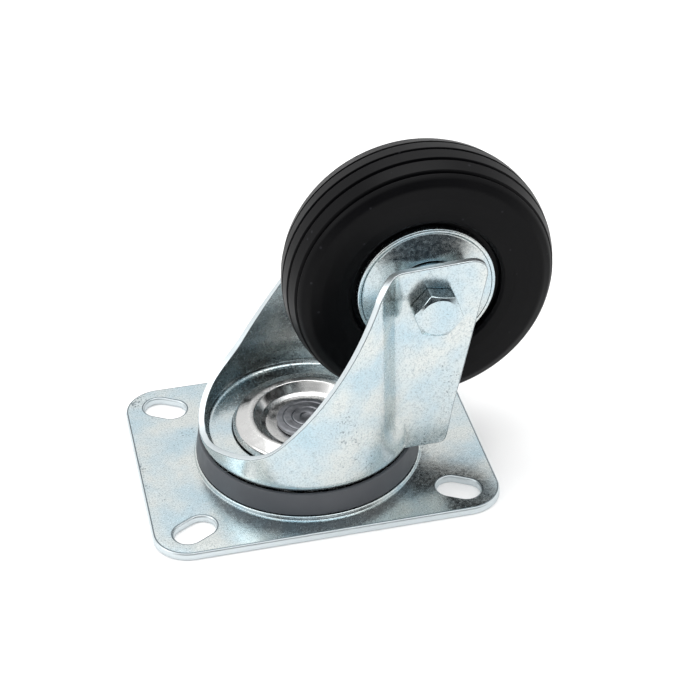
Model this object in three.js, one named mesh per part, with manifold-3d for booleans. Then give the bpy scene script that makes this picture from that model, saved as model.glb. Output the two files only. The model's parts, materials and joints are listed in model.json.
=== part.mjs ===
// Swivel caster with a top plate and a solid rubber wheel. All lengths are in millimetres.
//
// It stands upside down on its mounting plate, as it does before it is screwed to a gate or a frame.
// Z = 0 is the mounting face, the Z axis is the swivel axis, and +X runs from the swivel axis towards
// the wheel. The axle lies along Y, with the bolt's head on the -Y side and its nut on the +Y side.

import * as THREE from 'three';
import { mergeVertices } from 'three/addons/utils/BufferGeometryUtils.js';
import Module from 'manifold-3d';

const wasm = await Module();
wasm.setup();

// ---------------------------------------------------------------- driving dimensions

const GAP = 0.3; // left between pieces that touch
const SHEET = 2; // fork steel
const RIGHT_ANGLE = Math.PI / 2;

const plate = { length: 105, width: 81, thickness: 2.5, corner: 11 };
const slot = { spacingX: 80, spacingY: 60, width: 9, length: 13.5, angle: THREE.MathUtils.degToRad(30) };
const boss = { radius: 35.2, rise: 1.1, bevel: 0.7, bore: 6 };
const bossHub = { radius: 12, top: 7.3, recess: 11.4, coneFoot: 20.6, wall: 0.6 };

const upperBalls = { count: 22, radius: 3.175, orbit: 26, height: 6.55 };
const lowerBalls = { count: 14, radius: 2, orbit: 18, height: 11.9 };

const kingpin = {
  shank: 5.6, head: 10.6, headThickness: 4.4,
  rivet: 9.2, rivetFrom: 12.9, rivetTo: 14.6, bevel: 0.5,
};
const seal = { footRadius: 34.3, topRadius: 33.2, bottom: 3.9, top: 10.8, footWall: 1.4, topWall: 1.3 };

// Radius and height of the race cup's upper face, from its rim over its crest to its flat centre, and of
// its lower face back again.
const cup = { sheet: 1.5, flatTop: 12.6 };
const cupUpper = [[22.7, 12.3], [21.7, 14.7], [17.6, 16.1], [16, 15.8], [14, 13.2], [12.8, 12.6]];
const cupLower = [[12.7, 11.1], [15.7, 14], [17.6, 14.6], [20.7, 13.5], [21.4, 12.3]];

// The fork: a dished crown, a wall round its front, and a bend on each side that leads in to a flat leg.
const crown = {
  radius: 33, underside: 10, corner: 4, lip: 14,
  bore: 14, race: 7.6, raceOuter: 20.5, floorInner: 22.9,
};
const bend = { start: 60, turn: 22, outwardRadius: 6, inwardRadius: 5 };
const leg = { outer: 20.3, bottom: 12.6, rearEnd: 56, top: 80 };

const axle = { x: 34.7, z: 62.4, radius: 4 };
const hex = { acrossFlats: 13, flatRing: 6.1, chamfer: 0.8 };
const bolt = { headThickness: 5.3, headTurn: THREE.MathUtils.degToRad(11.6), threadBeyondNut: 1.5 };
const nut = { thickness: 6.2, collarThickness: 1.8, collarRadius: 6.2, pocketRadius: 5.6 };
const lockRing = { radius: 5.3, thickness: 1.2 };

// The tyre's side is listed as pairs of radius and half width.
const tyre = { radius: 40.4, crownDrop: 0.022, bore: 12.1, web: 8.9, webRadius: 21.9 };
const tyreSide = [[22.3, 9.2], [22.5, 11], [23.6, 11.9], [29, 12.5], [34.5, 12.5], [36.4, 12.1]];
const tread = { grooves: [-9.6, -4.9, 0, 4.9, 9.6], grooveWidth: 0.9, grooveDepth: 1 };
const disc = {
  radius: 20.64, face: 11.8, sheet: 1.5, bevel: 0.5,
  bore: 11.9, bend: 0.7, collar: 14.5, collarWall: 1.2,
};
const hub = { bore: 9.8, radius: 11.5, halfLength: 17 };
const sleeve = { bore: 4.4, radius: 6 };
const roller = { count: 8, radius: 1.6, orbit: 7.9, length: 24 };
const cage = { inner: 7.1, outer: 8.7, halfLength: 15, windowDepth: 6 };

const legInner = leg.outer - SHEET;
const wallInner = crown.radius - SHEET;
const crownTop = crown.underside + SHEET;

// ---------------------------------------------------------------- finishes

const finish = (color, roughness, metalness) =>
  new THREE.MeshStandardMaterial({ color, roughness, metalness });
const zinc = () => finish(0xdfe6ea, 0.3, 1);
const polishedSteel = () => finish(0xc9cdd1, 0.2, 1);
const darkSteel = () => finish(0x5b5d61, 0.5, 1);
const blackRubber = () => finish(0x1c1c20, 0.6, 0);
const greyPlastic = () => finish(0x66686c, 0.55, 0);
const blueNylon = () => finish(0x2f5f9e, 0.5, 0);

// ---------------------------------------------------------------- geometry helpers

const point = (x, y) => new THREE.Vector2(x, y);

// Points on an arc round (cx, cy), angles in degrees.
function arc(cx, cy, radius, from, to, steps) {
  return Array.from({ length: steps + 1 }, (_, i) => {
    const angle = THREE.MathUtils.degToRad(from + ((to - from) * i) / steps);
    return point(cx + radius * Math.cos(angle), cy + radius * Math.sin(angle));
  });
}

// Driving dimensions listed as pairs, as points.
const points = (pairs) => pairs.map(([x, y]) => point(x, y));

// A closed (radius, height) profile, counter-clockwise, turned round the Y axis.
function turned(profile, segments) {
  return new THREE.LatheGeometry([...profile, profile[0].clone()], segments);
}

// The same, turned round the Z axis.
const turnedUpright = (profile, segments) => turned(profile, segments).rotateX(RIGHT_ANGLE);

// A rectangular ring section between two radii and two heights.
function ringSection(inner, outer, low, high) {
  return [point(inner, low), point(outer, low), point(outer, high), point(inner, high)];
}

function toSolid(geometry) {
  const bare = geometry.clone();
  bare.deleteAttribute('normal');
  bare.deleteAttribute('uv');
  const merged = mergeVertices(bare, 1e-4);
  const vertProperties = new Float32Array(merged.attributes.position.array);
  const triVerts = new Uint32Array(merged.index.array);
  return new wasm.Manifold(new wasm.Mesh({ numProp: 3, vertProperties, triVerts }));
}

function toGeometry(manifold) {
  const { vertProperties, triVerts } = manifold.getMesh();
  const geometry = new THREE.BufferGeometry();
  geometry.setAttribute('position', new THREE.BufferAttribute(vertProperties, 3));
  geometry.setIndex(new THREE.BufferAttribute(triVerts, 1));
  return geometry;
}

const caster = new THREE.Group();

function addPart(name, geometry, material, parent = caster) {
  const mesh = new THREE.Mesh(geometry, material);
  mesh.name = name;
  parent.add(mesh);
  return mesh;
}

// ---------------------------------------------------------------- mounting plate

function roundedRectangle(length, width, corner) {
  const x = length / 2;
  const y = width / 2;
  const shape = new THREE.Shape();
  shape.absarc(x - corner, y - corner, corner, 0, RIGHT_ANGLE);
  shape.absarc(corner - x, y - corner, corner, RIGHT_ANGLE, 2 * RIGHT_ANGLE);
  shape.absarc(corner - x, corner - y, corner, 2 * RIGHT_ANGLE, 3 * RIGHT_ANGLE);
  shape.absarc(x - corner, corner - y, corner, 3 * RIGHT_ANGLE, 4 * RIGHT_ANGLE);
  return shape;
}

// A slot with round ends, its long axis pointing towards the swivel axis.
function slotHole(signX, signY) {
  const end = slot.width / 2;
  const reach = slot.length / 2 - end;
  const angle = slot.angle * signX * signY;
  const x = (signX * slot.spacingX) / 2;
  const y = (signY * slot.spacingY) / 2;
  const alongX = reach * Math.cos(angle);
  const alongY = reach * Math.sin(angle);
  const hole = new THREE.Path();
  hole.absarc(x + alongX, y + alongY, end, angle - RIGHT_ANGLE, angle + RIGHT_ANGLE);
  hole.absarc(x - alongX, y - alongY, end, angle + RIGHT_ANGLE, angle + 3 * RIGHT_ANGLE);
  return hole;
}

// The pressed centre: a low round step, a shallow track for the upper balls and a raised hub.
function bossProfile() {
  const top = plate.thickness + boss.rise;
  const trackRadius = upperBalls.radius + GAP;
  const trackHalfAngle = THREE.MathUtils.radToDeg(Math.acos((upperBalls.height - top) / trackRadius));
  const track = arc(
    upperBalls.orbit, upperBalls.height, trackRadius,
    trackHalfAngle - 90, -trackHalfAngle - 90, 2,
  );
  return [
    point(boss.bore, bossHub.top - plate.thickness),
    point(bossHub.recess, bossHub.top - plate.thickness),
    point(bossHub.coneFoot, boss.rise),
    point(boss.radius - 2 * boss.bevel, boss.rise),
    point(boss.radius - boss.bevel, 0),
    point(boss.radius, 0),
    point(boss.radius, plate.thickness),
    point(boss.radius - boss.bevel, top),
    ...track,
    point(bossHub.coneFoot + bossHub.wall, top),
    point(bossHub.radius + bossHub.wall, bossHub.top),
    point(boss.bore, bossHub.top),
  ];
}

function mountingPlate() {
  const shape = roundedRectangle(plate.length, plate.width, plate.corner);
  for (const signX of [-1, 1]) {
    for (const signY of [-1, 1]) shape.holes.push(slotHole(signX, signY));
  }
  const centre = new THREE.Path();
  centre.absarc(0, 0, boss.radius - boss.bevel / 2, 0, 2 * Math.PI);
  shape.holes.push(centre);
  const sheet = { depth: plate.thickness, bevelEnabled: false, curveSegments: 9 };
  const flat = new THREE.ExtrudeGeometry(shape, sheet);
  const pressed = turnedUpright(bossProfile(), 48);
  return toGeometry(toSolid(flat).add(toSolid(pressed)));
}

// ---------------------------------------------------------------- swivel bearing

// A flush head under the plate, a shank, and the head riveted over inside the fork.
function kingpinProfile() {
  return [
    point(0, 0),
    point(kingpin.head, 0),
    point(kingpin.head, kingpin.headThickness),
    point(kingpin.shank, kingpin.headThickness),
    point(kingpin.shank, kingpin.rivetFrom),
    point(kingpin.rivet, kingpin.rivetFrom),
    point(kingpin.rivet, kingpin.rivetTo - kingpin.bevel),
    point(kingpin.rivet - kingpin.bevel, kingpin.rivetTo),
    point(0, kingpin.rivetTo),
  ];
}

// A ring that tapers upwards round the upper balls.
function sealProfile() {
  return [
    point(seal.footRadius - seal.footWall, seal.bottom),
    point(seal.footRadius, seal.bottom),
    point(seal.topRadius, seal.top),
    point(seal.topRadius - seal.topWall, seal.top),
  ];
}

// The pressed cup that runs over the lower balls, with its flat centre under the kingpin's riveted head.
function cupProfile() {
  const bore = kingpin.shank + GAP;
  return [
    point(bore, cup.flatTop - cup.sheet),
    ...points(cupLower),
    ...points(cupUpper),
    point(bore, cup.flatTop),
  ];
}

function addSwivelBearing() {
  const spacerTop = kingpin.rivetFrom - cup.sheet - 2 * GAP;
  const spacer = ringSection(boss.bore, bossHub.radius - 1, bossHub.top + GAP, spacerTop);
  addPart('kingpin', turnedUpright(kingpinProfile(), 24), darkSteel());
  addPart('kingpin_spacer', turnedUpright(spacer, 24), zinc());
  addPart('dust_seal', turnedUpright(sealProfile(), 48), greyPlastic());
  addPart('lower_race_cup', turnedUpright(cupProfile(), 36), polishedSteel());
}

function addBallRow(name, row) {
  for (let i = 0; i < row.count; i += 1) {
    const angle = (2 * Math.PI * i) / row.count;
    const ball = addPart(`${name}_${i + 1}`, new THREE.IcosahedronGeometry(row.radius, 1), polishedSteel());
    ball.position.set(row.orbit * Math.cos(angle), row.orbit * Math.sin(angle), row.height);
  }
}

// ---------------------------------------------------------------- fork

// The dished crown: a floor with tracks for both rows of balls, and a rounded corner up to a low lip.
function crownProfile() {
  const cornerCentre = crown.radius - crown.corner;
  const cornerHeight = crown.underside + crown.corner;
  const raceTop = crown.race + SHEET;
  return [
    point(crown.bore, crown.race),
    point(crown.raceOuter, crown.race),
    point(crown.floorInner, crown.underside),
    ...arc(cornerCentre, cornerHeight, crown.corner, -90, 0, 4),
    ...arc(cornerCentre, cornerHeight, crown.corner - SHEET, 0, -90, 3),
    point(crown.floorInner, crownTop),
    point(crown.raceOuter, raceTop),
    point(crown.bore, raceTop),
  ];
}

// Half of the wall's plan, from the middle of its front to the rear of the +Y leg, moved inwards by inset.
function halfWallPlan(inset) {
  const start = THREE.MathUtils.degToRad(bend.start);
  const afterTurn = bend.start - bend.turn;
  const slope = THREE.MathUtils.degToRad(afterTurn);
  const outwardX = (crown.radius - bend.outwardRadius) * Math.cos(start);
  const outwardY = (crown.radius - bend.outwardRadius) * Math.sin(start);
  const inwardY = leg.outer + bend.inwardRadius;
  const drop = outwardY - inwardY + (bend.outwardRadius + bend.inwardRadius) * Math.sin(slope);
  const across = (bend.outwardRadius + bend.inwardRadius) * Math.cos(slope);
  const inwardX = outwardX + across + drop * Math.tan(slope);
  return [
    ...arc(0, 0, crown.radius - inset, 180, bend.start, 16),
    ...arc(outwardX, outwardY, bend.outwardRadius - inset, bend.start, afterTurn, 2).slice(1),
    ...arc(inwardX, inwardY, bend.inwardRadius + inset, 180 + afterTurn, 270, 4),
    point(leg.rearEnd, leg.outer - inset),
  ];
}

const mirrored = (plan) => plan.map((p) => point(p.x, -p.y));

// Plan of the wall and legs: round the front of the crown, then bent inwards to two flat legs.
function wallPlan() {
  const outer = halfWallPlan(0);
  const inner = halfWallPlan(SHEET);
  return new THREE.Shape([
    ...mirrored(outer).reverse(),
    ...outer.slice(1),
    ...[...inner].reverse(),
    ...mirrored(inner).slice(1),
  ]);
}

// Side outline of the wall and legs, in X and Z: a low front rim that sweeps up to the axle eyes.
function sideOutline() {
  const front = -crown.radius - 1;
  const base = crown.lip - 0.4;
  const outline = new THREE.Shape();
  outline.moveTo(front, base);
  outline.lineTo(front, 14.2);
  outline.bezierCurveTo(-28, 20.5, -21, 18.9, -14, 27.3);
  outline.bezierCurveTo(-3, 40, 9, 55, 16.6, 71.2);
  outline.quadraticCurveTo(18.3, 75, 24, 75.4);
  outline.lineTo(44.5, 76.3);
  outline.bezierCurveTo(48.8, 76.5, 51.1, 74, 50.2, 70);
  outline.lineTo(38.7, 16);
  outline.quadraticCurveTo(37.9, leg.bottom, 34.5, leg.bottom);
  outline.lineTo(24, leg.bottom);
  outline.lineTo(20, base);
  return outline;
}

// A prism of an (X, Z) outline, centred on the XZ plane.
function sidePrism(shape, width, curveSegments) {
  const prism = new THREE.ExtrudeGeometry(shape, { depth: width, bevelEnabled: false, curveSegments });
  return prism.rotateX(RIGHT_ANGLE).translate(0, width / 2, 0);
}

function fork() {
  const band = new THREE.ExtrudeGeometry(wallPlan(), { depth: leg.top - leg.bottom, bevelEnabled: false });
  band.translate(0, 0, leg.bottom);
  const outline = sidePrism(sideOutline(), 3 * crown.radius, 7);
  const eyes = new THREE.CylinderGeometry(sleeve.bore, sleeve.bore, 3 * leg.outer, 24);
  eyes.translate(axle.x, 0, axle.z);
  const wall = toSolid(band).intersect(toSolid(outline)).subtract(toSolid(eyes));
  return toGeometry(wall.add(toSolid(turnedUpright(crownProfile(), 48))));
}

// ---------------------------------------------------------------- axle, in a group on the wheel's axis

const wheelCentre = new THREE.Group();
wheelCentre.position.set(axle.x, 0, axle.z);
caster.add(wheelCentre);

// A hexagonal prism along Y, flat side up, whose corners are cut back by a round chamfer at its -Y end.
function hexHead(thickness) {
  const cornerRadius = hex.acrossFlats / Math.sqrt(3);
  const clear = cornerRadius + 1;
  const prism = new THREE.CylinderGeometry(cornerRadius, cornerRadius, thickness, 6).rotateY(Math.PI / 6);
  const rounded = [
    point(0, -thickness / 2),
    point(hex.flatRing, -thickness / 2),
    point(cornerRadius, hex.chamfer - thickness / 2),
    point(cornerRadius, clear),
    point(0, clear),
  ];
  return toSolid(prism).intersect(toSolid(turned(rounded, 36)));
}

function axleBolt() {
  const start = leg.outer + GAP;
  const end = start + nut.thickness + nut.collarThickness + bolt.threadBeyondNut;
  const turn = THREE.MathUtils.radToDeg(bolt.headTurn);
  const middle = -start - bolt.headThickness / 2;
  const head = hexHead(bolt.headThickness).rotate([0, turn, 0]).translate([0, middle, 0]);
  const shank = new THREE.CylinderGeometry(axle.radius, axle.radius, start + end + 1, 28);
  shank.translate(0, (end - start - 1) / 2, 0);
  return toGeometry(head.add(toSolid(shank)));
}

// A lock nut: a hexagon, and a thin collar that holds the nylon ring.
function axleNut() {
  const start = leg.outer + GAP;
  const thread = axle.radius + GAP;
  const collarStart = start + nut.thickness;
  const collarEnd = collarStart + nut.collarThickness;
  const body = hexHead(nut.thickness).rotate([180, 0, 0]).translate([0, start + nut.thickness / 2, 0]);
  const collar = toSolid(turned(ringSection(thread, nut.collarRadius, collarStart - 1, collarEnd), 36));
  const bore = turned(ringSection(0, thread, start - 1, collarEnd + 1), 28);
  const pocket = turned(ringSection(0, nut.pocketRadius, collarStart, collarEnd + 1), 28);
  return toGeometry(body.add(collar).subtract(toSolid(bore)).subtract(toSolid(pocket)));
}

function addAxle() {
  const lockStart = leg.outer + nut.thickness + 2 * GAP;
  const lock = ringSection(axle.radius + GAP, lockRing.radius, lockStart, lockStart + lockRing.thickness);
  const tube = ringSection(sleeve.bore, sleeve.radius, GAP - legInner, legInner - GAP);
  addPart('axle_bolt', axleBolt(), zinc(), wheelCentre);
  addPart('axle_nut', axleNut(), zinc(), wheelCentre);
  addPart('nut_lock_ring', turned(lock, 28), blueNylon(), wheelCentre);
  addPart('axle_sleeve', turned(tube, 28), polishedSteel(), wheelCentre);
}

// ---------------------------------------------------------------- roller bearing

// A tube with one window for each roller.
function rollerCage() {
  let solid = toSolid(turned(ringSection(cage.inner, cage.outer, -cage.halfLength, cage.halfLength), 32));
  const windowWidth = 2 * (roller.radius + GAP);
  for (let i = 0; i < roller.count; i += 1) {
    const window = new THREE.BoxGeometry(cage.windowDepth, roller.length + 2 * GAP, windowWidth);
    window.translate(roller.orbit, 0, 0).rotateY((2 * Math.PI * i) / roller.count);
    solid = solid.subtract(toSolid(window));
  }
  return toGeometry(solid);
}

function addRollerBearing() {
  addPart('roller_cage', rollerCage(), greyPlastic(), wheelCentre);
  for (let i = 0; i < roller.count; i += 1) {
    const angle = (2 * Math.PI * i) / roller.count;
    const geometry = new THREE.CylinderGeometry(roller.radius, roller.radius, roller.length, 12);
    const pin = addPart(`roller_${i + 1}`, geometry, polishedSteel(), wheelCentre);
    pin.position.set(roller.orbit * Math.cos(angle), 0, -roller.orbit * Math.sin(angle));
  }
}

// ---------------------------------------------------------------- wheel

const treadRadius = (y) => tyre.radius - tyre.crownDrop * y * y;

// One V groove across the tread, from its low-Y edge to its high-Y edge.
function groovePoints(y) {
  const half = tread.grooveWidth / 2;
  return [
    point(treadRadius(y - half), y - half),
    point(treadRadius(y) - tread.grooveDepth, y),
    point(treadRadius(y + half), y + half),
  ];
}

// A crowned, ribbed tread, bulging side walls, a deep groove round each disc, and an inner web.
function tyreProfile() {
  const side = points(tyreSide);
  return [
    point(tyre.bore, -tyre.web),
    point(tyre.webRadius, -tyre.web),
    ...mirrored(side),
    ...tread.grooves.flatMap(groovePoints),
    ...side.reverse(),
    point(tyre.webRadius, tyre.web),
    point(tyre.bore, tyre.web),
  ];
}

// A pressed disc with a rolled edge and a collar round the hub tube, on the +Y side.
function discProfile() {
  const back = disc.face - disc.sheet;
  const seat = tyre.web + GAP;
  return [
    point(disc.bore, seat),
    point(disc.bore + disc.sheet, seat),
    point(disc.bore + disc.sheet, back),
    point(disc.radius - disc.sheet, back),
    point(disc.radius - disc.sheet, seat),
    point(disc.radius, seat),
    point(disc.radius, disc.face - disc.bevel),
    point(disc.radius - disc.bevel, disc.face),
    point(disc.bore + disc.collarWall + disc.bend, disc.face),
    point(disc.bore + disc.collarWall, disc.face + disc.bend),
    point(disc.bore + disc.collarWall, disc.collar),
    point(disc.bore, disc.collar),
  ];
}

function addWheel() {
  const tube = ringSection(hub.bore, hub.radius, -hub.halfLength, hub.halfLength);
  addPart('tyre', turned(tyreProfile(), 44), blackRubber(), wheelCentre);
  addPart('hub_tube', turned(tube, 36), zinc(), wheelCentre);
  addPart('rim_disc_nut_side', turned(discProfile(), 36), zinc(), wheelCentre);
  addPart('rim_disc_head_side', turned(discProfile(), 36).rotateX(Math.PI), zinc(), wheelCentre);
}

// ---------------------------------------------------------------- assembly

addPart('mounting_plate', mountingPlate(), zinc());
addSwivelBearing();
addBallRow('upper_ball', upperBalls);
addBallRow('lower_ball', lowerBalls);
addPart('fork', fork(), zinc());
addAxle();
addRollerBearing();
addWheel();

export default caster;
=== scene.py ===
import json
import math

import bmesh
import bpy
from bpy.props import FloatProperty, FloatVectorProperty, IntProperty, PointerProperty
from mathutils import Matrix, Vector
from mathutils.geometry import delaunay_2d_cdt


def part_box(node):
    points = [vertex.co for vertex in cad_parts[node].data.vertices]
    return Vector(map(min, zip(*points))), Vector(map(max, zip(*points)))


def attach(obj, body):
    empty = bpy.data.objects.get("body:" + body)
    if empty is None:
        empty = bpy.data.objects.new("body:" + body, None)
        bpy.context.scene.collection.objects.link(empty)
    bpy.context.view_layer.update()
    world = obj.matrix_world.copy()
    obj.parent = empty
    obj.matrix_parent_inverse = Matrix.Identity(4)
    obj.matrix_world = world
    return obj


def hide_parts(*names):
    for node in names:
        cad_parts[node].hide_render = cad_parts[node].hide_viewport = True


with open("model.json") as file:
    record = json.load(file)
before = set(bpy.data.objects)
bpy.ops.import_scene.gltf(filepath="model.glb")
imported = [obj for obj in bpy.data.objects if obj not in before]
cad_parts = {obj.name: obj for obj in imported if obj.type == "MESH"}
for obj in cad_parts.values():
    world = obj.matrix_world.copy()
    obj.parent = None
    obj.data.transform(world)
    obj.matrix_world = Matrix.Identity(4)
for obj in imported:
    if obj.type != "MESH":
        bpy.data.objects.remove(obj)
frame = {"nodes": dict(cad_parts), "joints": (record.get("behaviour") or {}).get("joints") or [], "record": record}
record = frame["record"]
joints = {joint["name"]: joint for joint in frame["joints"]}

bl_info = {
    "name": "Swivel Plate Caster",
    "version": (1, 0, 0),
    "blender": (4, 5, 0),
    "location": "3D View > Sidebar > Caster",
    "description": "Builds a zinc plated swivel caster with a ribbed rubber wheel",
    "category": "Object",
}

MM = 0.001
BORDER_GAP = 0.45  # mm kept free between a sheet's border and the points inside it

# The wheel's axis runs along Y through this point, and the swivel's axis is Z.
AXLE = Vector(joints["wheel_spin"]["pos_m"]) / MM


def extent(node):
    """Lowest and highest corner of a node, in millimetres."""
    low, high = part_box(node)
    return low / MM, high / MM


# ---------- sizes and colours


def millimetres(name, description, default):
    """A length property, shown in the scene's unit and given in millimetres."""
    return FloatProperty(
        name=name, description=description, default=default * MM, unit="LENGTH", precision=5
    )


def degrees(name, description, default):
    """An angle property given in degrees."""
    turn = math.radians(default)
    return FloatProperty(name=name, description=description, default=turn, subtype="ANGLE")


def linear(hexadecimal):
    """An sRGB colour such as "#D8DEE2" as linear RGB."""
    channels = [int(hexadecimal[i : i + 2], 16) / 255 for i in (1, 3, 5)]
    return tuple(c / 12.92 if c <= 0.04045 else ((c + 0.055) / 1.055) ** 2.4 for c in channels)


def colour(name, description, hexadecimal):
    """A colour property given as an sRGB hex value."""
    return FloatVectorProperty(
        name=name,
        description=description,
        default=linear(hexadecimal),
        subtype="COLOR",
        size=3,
        min=0,
        max=1,
    )


class CasterPlateSettings(bpy.types.PropertyGroup):
    corner: millimetres("Corner", "Radius of the plate's corners", 11)
    thickness: millimetres("Thickness", "Thickness of the plate's sheet", 2.5)
    edge: millimetres("Edge", "Radius rolled over on the punched upper edge", 0.75)
    slot_width: millimetres("Slot Width", "Width of each bolt slot", 9)
    slot_length: millimetres("Slot Length", "Length of each bolt slot over its round ends", 13.5)
    slot_angle: degrees("Slot Angle", "Turn of each slot from the long side to the centre", 30)
    spacing_x: millimetres("Slot Spacing X", "Distance between slots along the plate", 80)
    spacing_y: millimetres("Slot Spacing Y", "Distance between slots across the plate", 60)
    step_radius: millimetres("Step Radius", "Radius of the raised round centre", 35.2)
    step_rise: millimetres("Step Rise", "Height of the raised centre over the plate", 1.1)


class CasterForkSettings(bpy.types.PropertyGroup):
    sheet: millimetres("Sheet", "Thickness of the fork's sheet", 2)
    edge: millimetres("Edge", "Radius of the fork's blanked edges", 0.3)
    radius: millimetres("Crown Radius", "Outer radius of the round crown", 33)
    leg: millimetres("Leg", "Distance of a leg's outer face from the middle", 20.3)
    lip: millimetres("Lip", "Height where the crown's rounded corner meets the wall", 14)
    hole: millimetres("Axle Hole", "Radius of the hole for the axle bolt", 4.4)


class CasterWheelSettings(bpy.types.PropertyGroup):
    groove_width: millimetres("Groove Width", "Width of each tread groove at its mouth", 1.1)
    groove_depth: millimetres("Groove Depth", "Depth of each tread groove", 1)
    crown: FloatProperty(
        name="Crown", description="Fall of the tread in mm per square mm from the middle", default=0.022
    )
    segments: IntProperty(name="Segments", description="Steps round the wheel", default=256, min=32)


class CasterFinishSettings(bpy.types.PropertyGroup):
    zinc_cool: colour("Zinc Cool", "Cooler patches of the zinc plating", "#BFD0D7")
    zinc_warm: colour("Zinc Warm", "Warmer patches of the zinc plating", "#D3D8D6")
    zinc_blue: colour("Zinc Blue", "Bluish patches of the zinc plating", "#B4CCD6")
    zinc_grain: colour("Zinc Grain", "Grain of the sheet under the plating", "#98A4A8")
    zinc_speck: colour("Zinc Specks", "Specks that the plating barrel leaves", "#828C91")
    zinc_scratch: colour("Zinc Scratches", "Fine scratches in the plating", "#6E787E")
    # The edge line colour is painted shade: a darker colour for the thin lines where a cut edge rounds over from
    # its face.
    painted_edge_shade: colour("Edge Painted Shade", "Lines along a sheet's cut edges", "#6A7479")
    edge_torn: colour("Torn Edge", "Torn band between those lines", "#D2DADD")
    race: colour("Race Steel", "Polished steel of the race cup and the balls", "#CFCFCE")
    kingpin_dark: colour("Kingpin Dark", "Darker smears on the riveted kingpin", "#4A4B50")
    kingpin_bright: colour("Kingpin Bright", "Brighter smears on the riveted kingpin", "#A5A7AC")
    rubber: colour("Rubber", "Black rubber of the tyre", "#070709")
    rubber_grain: colour("Rubbed Rubber", "Rubbed grains of the tyre", "#232327")
    seal: colour("Seal", "Grey plastic of the dust seal", "#4E5156")
    cage: colour("Cage", "Grey plastic of the roller cage", "#8A8B8E")
    nylon: colour("Nylon", "Blue nylon of the lock ring", "#2F5F9E")


class CasterStageSettings(bpy.types.PropertyGroup):
    floor: colour("Floor", "Plain pale floor", "#FFFFFF")
    azimuth: degrees("Azimuth", "Camera's turn about Z, nought looking along Y", -12.09)
    elevation: degrees("Elevation", "Camera's height above the horizon", 35.91)
    roll: degrees("Roll", "Camera's tilt", 1.23)
    distance: millimetres("Distance", "Camera's distance from its target", 565.44)
    target: FloatVectorProperty(
        name="Target",
        description="Point that the camera looks at",
        default=(0.01176, -0.01058, 0.04456),
        subtype="TRANSLATION",
        unit="LENGTH",
    )
    lens: FloatProperty(name="Lens", description="Focal length in mm", default=99.36)


GROUPS = {
    "caster_plate": CasterPlateSettings,
    "caster_fork": CasterForkSettings,
    "caster_wheel": CasterWheelSettings,
    "caster_finish": CasterFinishSettings,
    "caster_stage": CasterStageSettings,
}


# ---------- materials


def add_node(tree, kind, settings=None, inputs=None):
    """Adds a shader node with its settings, and sets or links its inputs."""
    node = tree.nodes.new(kind)
    for name, value in (settings or {}).items():
        setattr(node, name, value)
    for name, value in (inputs or {}).items():
        if isinstance(value, bpy.types.NodeSocket):
            tree.links.new(value, node.inputs[name])
        else:
            node.inputs[name].default_value = value
    return node


def new_material(name, base, metallic, roughness, extra=None):
    """Makes or remakes a material. Returns it, its tree and its Principled shader."""
    material = bpy.data.materials.get(name) or bpy.data.materials.new(name)
    material.use_nodes = True
    tree = material.node_tree
    tree.nodes.clear()
    inputs = {"Base Color": (*base, 1), "Metallic": metallic, "Roughness": roughness}
    shader = add_node(tree, "ShaderNodeBsdfPrincipled", inputs={**inputs, **(extra or {})})
    add_node(tree, "ShaderNodeOutputMaterial", inputs={"Surface": shader.outputs[0]})
    return material, tree, shader


def own_place(tree):
    """Where a spot is in the object's own coordinates."""
    return add_node(tree, "ShaderNodeTexCoord").outputs["Object"]


def per_metre(size_mm):
    """Scale for a pattern whose features are about this many millimetres apart."""
    return 1 / (size_mm * MM)


def noise(tree, place, size_mm, detail):
    """Soft noise with features about size_mm apart."""
    inputs = {"Vector": place, "Scale": per_metre(size_mm), "Detail": detail}
    return add_node(tree, "ShaderNodeTexNoise", inputs=inputs).outputs[0]


def cells(tree, place, size_mm, feature="F1"):
    """Distance from the middle or the border of cells about size_mm apart, as a share of that size."""
    inputs = {"Vector": place, "Scale": per_metre(size_mm)}
    return add_node(tree, "ShaderNodeTexVoronoi", {"feature": feature}, inputs).outputs["Distance"]


def ramp(tree, value, start, end, low=0.0, high=1.0, kind="LINEAR"):
    """Goes from low to high while the value goes from start to end, and is level beyond them."""
    inputs = {"Value": value, "From Min": start, "From Max": end, "To Min": low, "To Max": high}
    return add_node(tree, "ShaderNodeMapRange", {"interpolation_type": kind}, inputs).outputs[0]


def combine(tree, operation, first, second):
    """A sum of two values."""
    return add_node(tree, "ShaderNodeMath", {"operation": operation}, {0: first, 1: second}).outputs[0]


def lay_over(tree, share, under, over):
    """One colour with a share of another laid over it."""
    under, over = (c if isinstance(c, bpy.types.NodeSocket) else (*c, 1) for c in (under, over))
    inputs = {"Factor": share, "A": under, "B": over}
    return add_node(tree, "ShaderNodeMix", {"data_type": "RGBA"}, inputs).outputs["Result"]


def relief(tree, height, strength, depth_mm):
    """A normal for a surface that rises by depth_mm while the height goes from 0 to 1."""
    inputs = {"Strength": strength, "Distance": depth_mm * MM, "Height": height}
    return add_node(tree, "ShaderNodeBump", inputs=inputs).outputs["Normal"]


def feed(tree, shader, sockets):
    """Links sockets to the shader's inputs by their names."""
    for name, socket in sockets.items():
        tree.links.new(socket, shader.inputs[name])


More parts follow.
